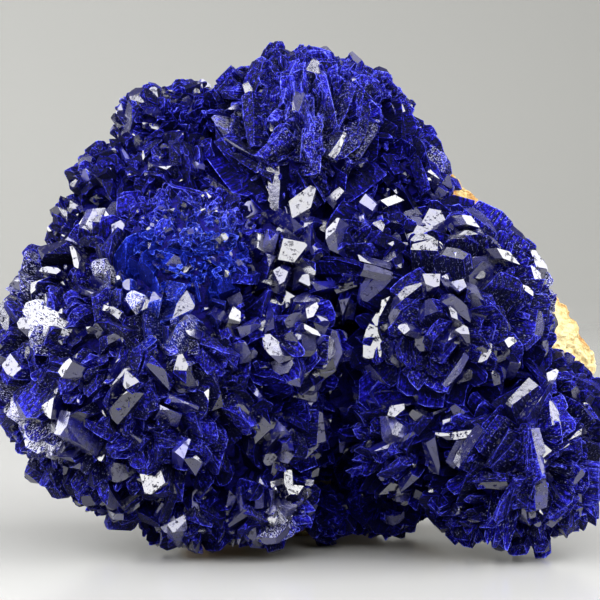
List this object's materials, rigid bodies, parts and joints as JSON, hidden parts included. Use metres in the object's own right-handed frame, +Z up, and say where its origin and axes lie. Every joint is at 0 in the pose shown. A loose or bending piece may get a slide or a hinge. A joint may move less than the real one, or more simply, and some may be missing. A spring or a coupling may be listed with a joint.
{
  "type": "azurite mineral specimen",
  "caption": "Mineral specimen: ball-like rosettes of blue, chisel-tipped blade crystals grown together over a rough lump of ochre rock.",
  "frame": {"origin": "centre of the specimen's bounding box, at the height of the surface it rests on", "axes": "+Z up, +X to the right of the specimen as shown and along its longest side, -Y to its front, along its shortest side"},
  "size_m": [0.0686, 0.0418, 0.056],
  "materials": {
    "azurite": "deep ultramarine blue crystal, glossy dark facets and velvety striated blade faces",
    "limonite": "matte, pitted, pale yellow to orange-brown rock"
  },
  "bodies": {
    "root": {"azurite_crystals": "azurite", "limonite_matrix": "limonite"}
  },
  "joints": []
}
